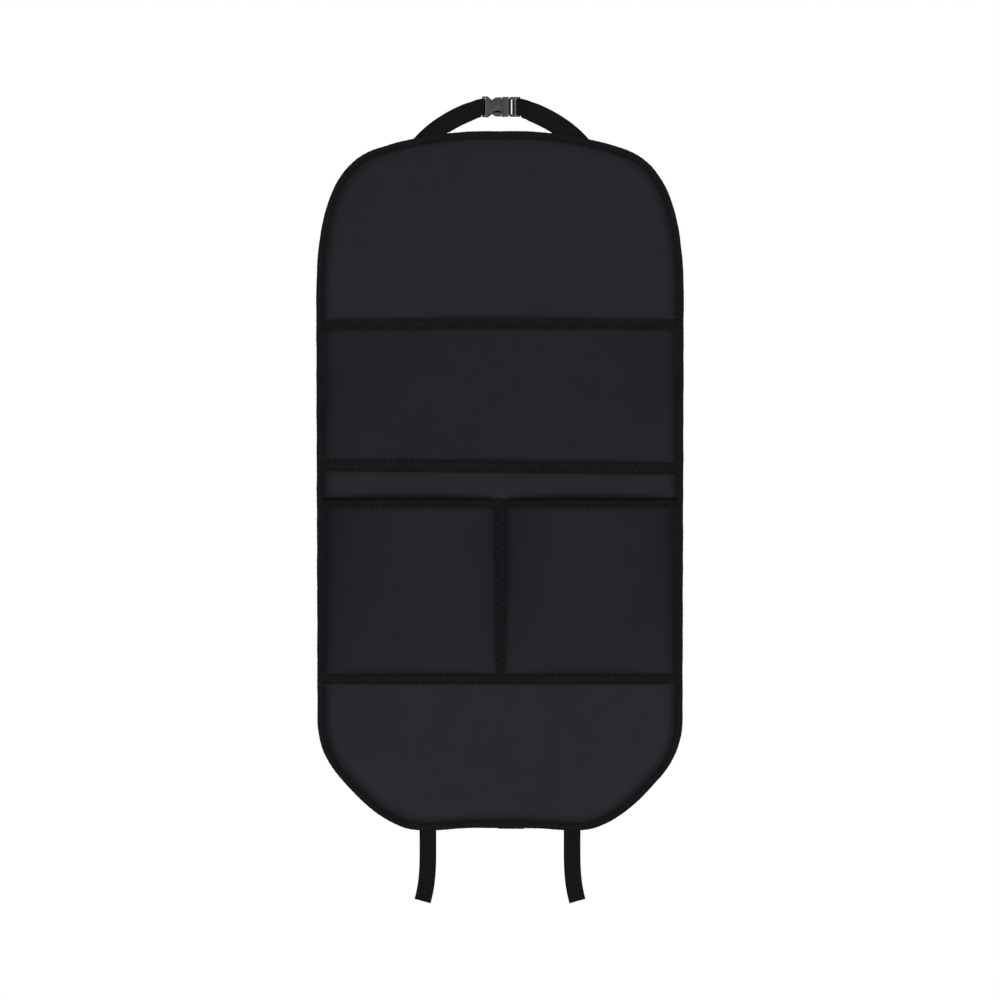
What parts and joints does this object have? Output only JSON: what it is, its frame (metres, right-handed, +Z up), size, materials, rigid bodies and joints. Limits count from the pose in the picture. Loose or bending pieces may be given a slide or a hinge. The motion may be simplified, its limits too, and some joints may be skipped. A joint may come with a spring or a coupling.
{
  "type": "seat back organiser",
  "caption": "Padded imitation leather mat with stitched tape edging and open pockets, hung by a webbing strap with a side-release buckle.",
  "frame": {"origin": "centre of the mat's flat back, halfway between its top and bottom edges at the centre line", "axes": "+Z up the mat as it hangs, +Y out of its back towards the seat, -Y is the pocket side, +X to the right as seen from the pockets"},
  "size_m": [0.3678, 0.019, 0.807],
  "materials": {
    "imitation_leather": "fine grain, satin, padded",
    "binding_tape": "ribbed woven tape, matt",
    "webbing": "woven webbing, matt",
    "buckle_plastic": "fine texture, satin"
  },
  "bodies": {
    "mat": {"back_panel": "imitation_leather", "edge_binding": "binding_tape", "upper_pocket_panel": "imitation_leather", "upper_pocket_top_binding": "binding_tape", "upper_pocket_bottom_tape": "binding_tape", "lower_pocket_panel": "imitation_leather", "lower_pocket_top_binding": "binding_tape", "lower_pocket_bottom_tape": "binding_tape", "divider_tape": "binding_tape", "headrest_strap_left": "webbing", "headrest_strap_right": "webbing", "bottom_strap_left": "webbing", "bottom_strap_right": "webbing", "buckle_socket": "buckle_plastic"},
    "plug": {"buckle_plug": "buckle_plastic"}
  },
  "joints": [
    {"name": "buckle_release", "type": "slide", "parent": "mat", "child": "plug", "axis": [1, 0, 0], "range_m": [0, 0.018], "deforming": ["headrest_strap_right", "buckle_plug"]}
  ]
}
